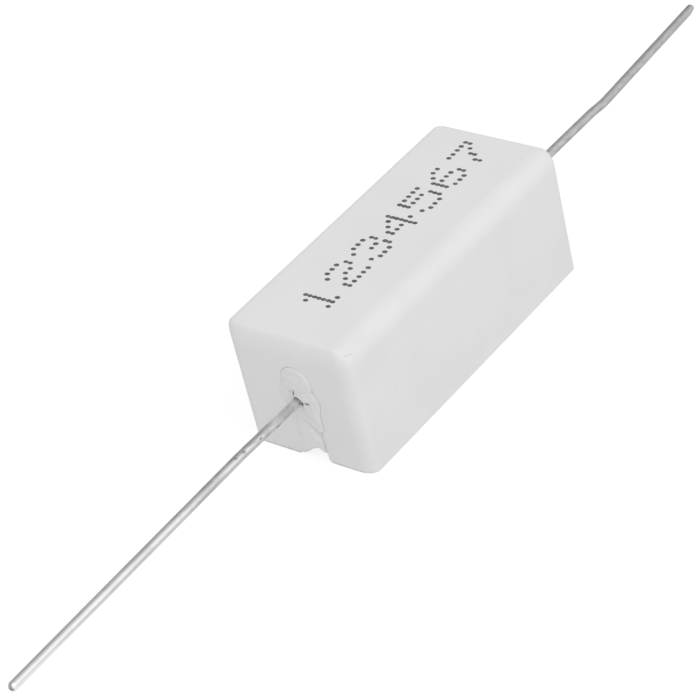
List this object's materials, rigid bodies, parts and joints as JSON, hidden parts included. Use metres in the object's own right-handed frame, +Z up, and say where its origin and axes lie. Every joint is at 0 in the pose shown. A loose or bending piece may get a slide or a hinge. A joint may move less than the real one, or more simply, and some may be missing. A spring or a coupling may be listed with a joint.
{
  "type": "axial resistor",
  "caption": "Cement-filled ceramic power resistor: white square-section trough case on a wire-wound core, with an axial lead out of each end.",
  "frame": {"origin": "centre of the underside, where the cement fills the case level with its rim", "axes": "+Z up through the marked face, +Y along the leads towards the kinked far lead, +X across the case"},
  "size_m": [0.0092, 0.0717, 0.0091],
  "materials": {
    "case_ceramic": "satin",
    "cement": "matte",
    "core_ceramic": "matte",
    "resistance_alloy": "satin",
    "cap_steel": "satin",
    "lead_bright": "gloss",
    "lead_dull": "satin",
    "marking_ink": "matte"
  },
  "bodies": {
    "root": {"ceramic_case": "case_ceramic", "cement_fill": "cement", "core_rod": "core_ceramic", "resistance_winding": "resistance_alloy", "end_cap_near": "cap_steel", "end_cap_far": "cap_steel", "lead_near": "lead_bright", "lead_far": "lead_dull"}
  },
  "joints": []
}
